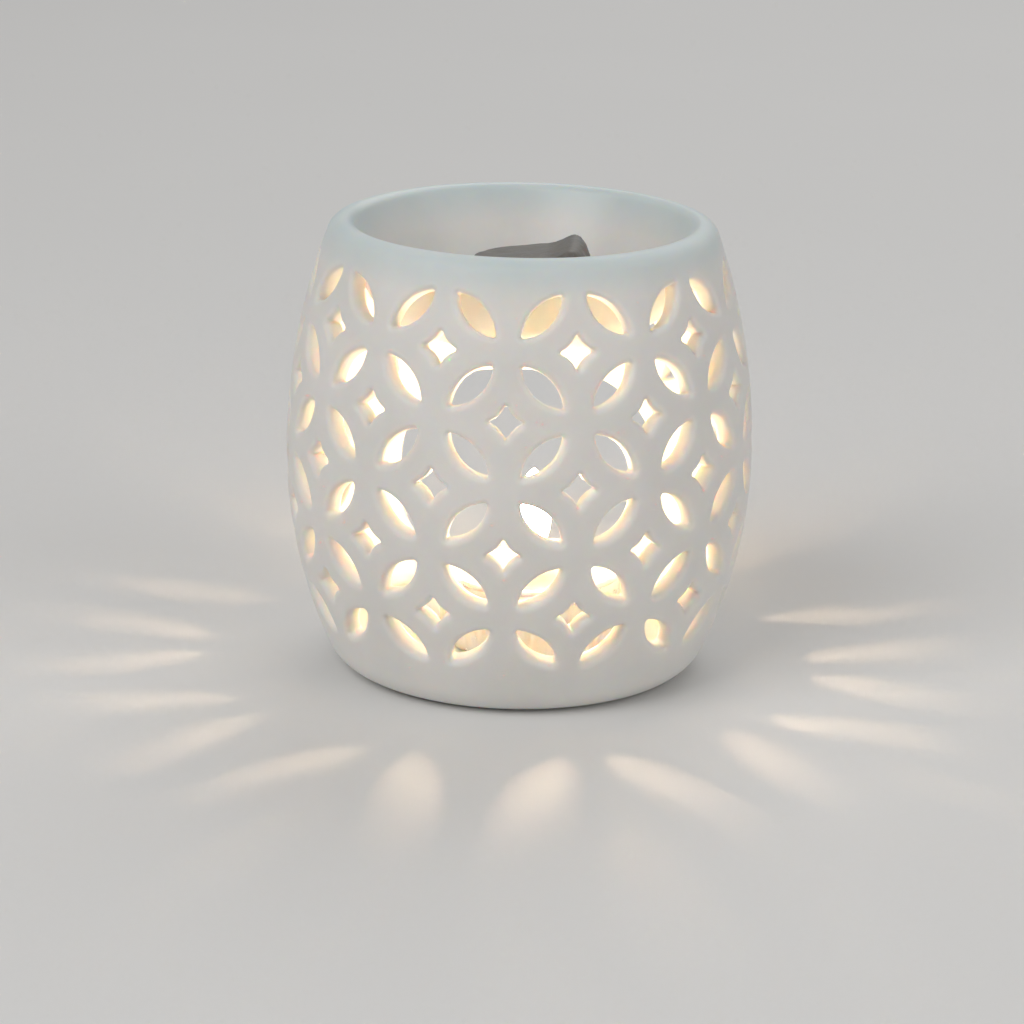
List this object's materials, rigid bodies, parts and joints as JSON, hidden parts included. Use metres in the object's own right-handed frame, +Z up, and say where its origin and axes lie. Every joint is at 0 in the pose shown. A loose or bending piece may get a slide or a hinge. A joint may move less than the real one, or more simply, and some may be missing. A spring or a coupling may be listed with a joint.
{
  "type": "essential oil burner",
  "caption": "Barrel-shaped white ceramic oil burner pierced with leaf and star holes, with a melt bowl on top and an opening at the back for a tealight.",
  "frame": {"origin": "centre of the base, on the surface that the burner stands on", "axes": "+Z up, -Y towards the front that the picture shows, +Y towards the tealight opening, +X to the right seen from the front"},
  "size_m": [0.097, 0.0969, 0.095],
  "materials": {
    "ceramic": "plain white, matt, softly rounded edges",
    "cup": "thin pressed foil, satin",
    "paraffin": "white paraffin wax, slightly translucent",
    "wick": "braided cotton, charred at the top",
    "sustainer": "thin tinned sheet",
    "melt": "grey-taupe wax, satin"
  },
  "bodies": {
    "burner": {"pierced_body": "ceramic", "oil_bowl": "ceramic"},
    "tealight": {"tealight_cup": "cup", "candle_wax": "paraffin", "wick": "wick", "wick_sustainer": "sustainer"},
    "melt": {"wax_melt": "melt"}
  },
  "joints": [
    {"name": "tealight_draw", "type": "slide", "parent": "burner", "child": "tealight", "axis": [0, 0.9336, 0.3584], "range_m": [0, 0.08]},
    {"name": "melt_lift", "type": "slide", "parent": "burner", "child": "melt", "axis": [0, 0, 1], "range_m": [0, 0.03]}
  ]
}
